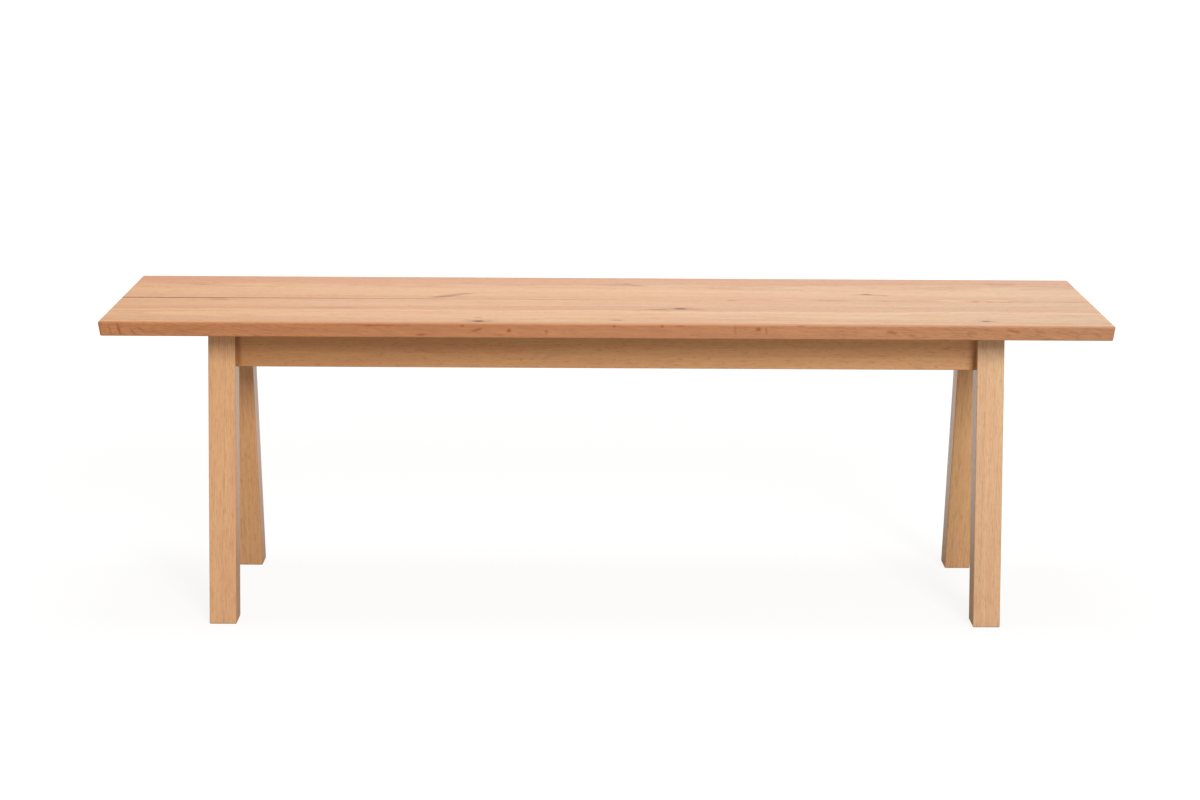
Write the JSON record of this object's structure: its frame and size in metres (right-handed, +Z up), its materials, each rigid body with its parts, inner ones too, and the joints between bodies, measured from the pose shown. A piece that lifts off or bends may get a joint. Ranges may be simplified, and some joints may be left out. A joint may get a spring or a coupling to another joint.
{
  "type": "bench",
  "caption": "Backless oak bench: a plank seat on a mortised frame with square legs that splay to the front and rear.",
  "frame": {"origin": "on the floor, under the centre of the seat", "axes": "+X along the seat to the right as seen from the front, +Y to the rear, +Z up"},
  "size_m": [1.502, 0.38, 0.472],
  "materials": {
    "seat_oak": "satin",
    "frame_oak": "satin",
    "button_oak": "matte",
    "spline_oak": "matte",
    "screw_steel": "satin"
  },
  "bodies": {
    "root": {"seat_plank_front": "seat_oak", "seat_plank_rear": "seat_oak", "leg_front_left": "frame_oak", "leg_front_right": "frame_oak", "leg_rear_left": "frame_oak", "leg_rear_right": "frame_oak", "long_rail_front": "frame_oak", "long_rail_rear": "frame_oak", "cross_rail_left": "frame_oak", "cross_rail_right": "frame_oak", "centre_bearer": "frame_oak", "seam_spline": "spline_oak", "turn_button_1": "button_oak", "turn_button_2": "button_oak", "turn_button_3": "button_oak", "turn_button_4": "button_oak", "turn_button_5": "button_oak", "turn_button_6": "button_oak", "turn_button_7": "button_oak", "turn_button_8": "button_oak", "seat_screws": "screw_steel"}
  },
  "joints": []
}
